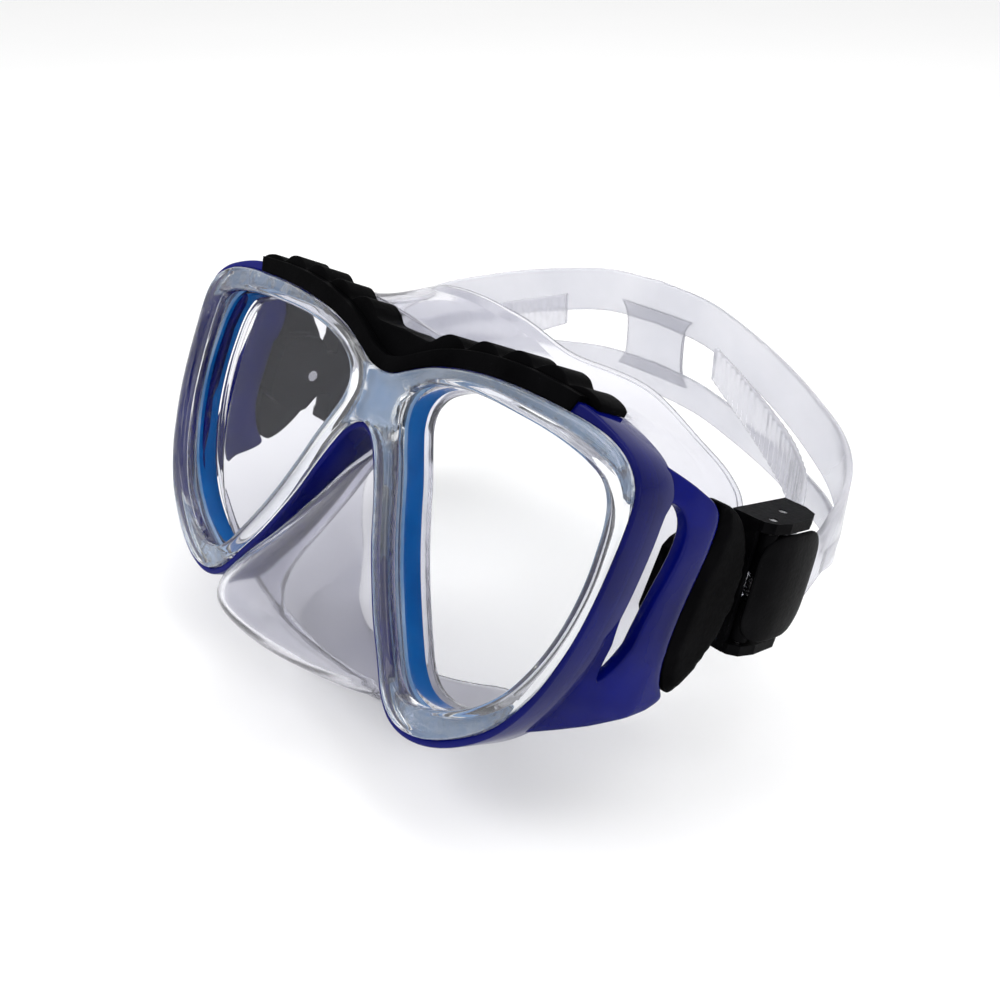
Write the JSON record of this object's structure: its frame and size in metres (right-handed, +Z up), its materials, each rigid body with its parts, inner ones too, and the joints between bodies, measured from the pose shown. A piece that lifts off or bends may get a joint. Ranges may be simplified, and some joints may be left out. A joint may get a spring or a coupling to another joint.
{
  "type": "diving mask",
  "caption": "Twin-lens diving mask with a translucent blue frame, clear silicone skirt with nose pocket, black ribbed brow guard and a split strap on swivelling buckles.",
  "frame": {"origin": "middle of the bounding box, on the plane the mask rests on", "axes": "+Z up, -Y the way the lenses face, +X to the wearer's left side; x = 0 is the symmetry plane"},
  "size_m": [0.1652, 0.1398, 0.0918],
  "materials": {
    "blue_translucent": "translucent tinted polycarbonate, glossy",
    "clear_bezel": "clear glossy polycarbonate",
    "lens_glass": "tempered clear glass, polished",
    "brow_black": "matte moulded rubber",
    "silicone_clear": "clear satin silicone rubber",
    "black_plastic": "matte moulded nylon",
    "strap_silicone": "clear satin silicone rubber",
    "pin_steel": "ground stainless steel"
  },
  "bodies": {
    "mask": {"main_frame": "blue_translucent", "front_bezel": "clear_bezel", "lens_right": "lens_glass", "lens_left": "lens_glass", "brow_guard": "brow_black", "skirt": "silicone_clear", "buckle_base_right": "black_plastic", "side_bumper_right": "brow_black", "swivel_pin_right": "pin_steel", "buckle_base_left": "black_plastic", "side_bumper_left": "brow_black", "swivel_pin_left": "pin_steel"},
    "buckle_right": {"buckle_body_right": "black_plastic", "roller_pin_right": "pin_steel", "lever_pin_right": "pin_steel", "lever_spring_right": "pin_steel"},
    "roller_right": {"strap_roller_right": "black_plastic"},
    "lever_right": {"release_lever_right": "black_plastic"},
    "buckle_left": {"buckle_body_left": "black_plastic", "roller_pin_left": "pin_steel", "lever_pin_left": "pin_steel", "lever_spring_left": "pin_steel"},
    "roller_left": {"strap_roller_left": "black_plastic"},
    "lever_left": {"release_lever_left": "black_plastic"},
    "strap": {"strap": "strap_silicone"}
  },
  "joints": [
    {"name": "strap_swing", "type": "hinge", "parent": "mask", "child": "strap", "pos_m": [0, -0.00049, 0.0467], "axis": [1, 0, 0], "range_deg": [-20, 10]},
    {"name": "buckle_swing_right", "type": "hinge", "parent": "mask", "child": "buckle_right", "pos_m": [0.074, -0.00049, 0.0467], "axis": [1, 0, 0], "range_deg": [-20, 10]},
    {"name": "roller_spin_right", "type": "hinge", "parent": "buckle_right", "child": "roller_right", "pos_m": [0.07605, 0.01853, 0.04157], "axis": [0, 0.2602, 0.9656], "continuous": true},
    {"name": "lever_release_right", "type": "hinge", "parent": "buckle_right", "child": "lever_right", "pos_m": [0.0784, 0.01148, 0.04347], "axis": [0, -0.2602, -0.9656], "range_deg": [0, 22], "stiffness_Nm_per_rad": 0.03, "springref_deg": -17.19},
    {"name": "buckle_swing_left", "type": "hinge", "parent": "mask", "child": "buckle_left", "pos_m": [-0.074, -0.00049, 0.0467], "axis": [1, 0, 0], "range_deg": [-20, 10]},
    {"name": "roller_spin_left", "type": "hinge", "parent": "buckle_left", "child": "roller_left", "pos_m": [-0.07605, 0.01853, 0.04157], "axis": [0, 0.2602, 0.9656], "continuous": true},
    {"name": "lever_release_left", "type": "hinge", "parent": "buckle_left", "child": "lever_left", "pos_m": [-0.0784, 0.01148, 0.04347], "axis": [0, 0.2602, 0.9656], "range_deg": [0, 22], "stiffness_Nm_per_rad": 0.03, "springref_deg": -17.19}
  ],
  "couplings": [
    {"joint": "buckle_swing_right", "follows": "strap_swing", "ratio": 1},
    {"joint": "buckle_swing_left", "follows": "strap_swing", "ratio": 1}
  ]
}
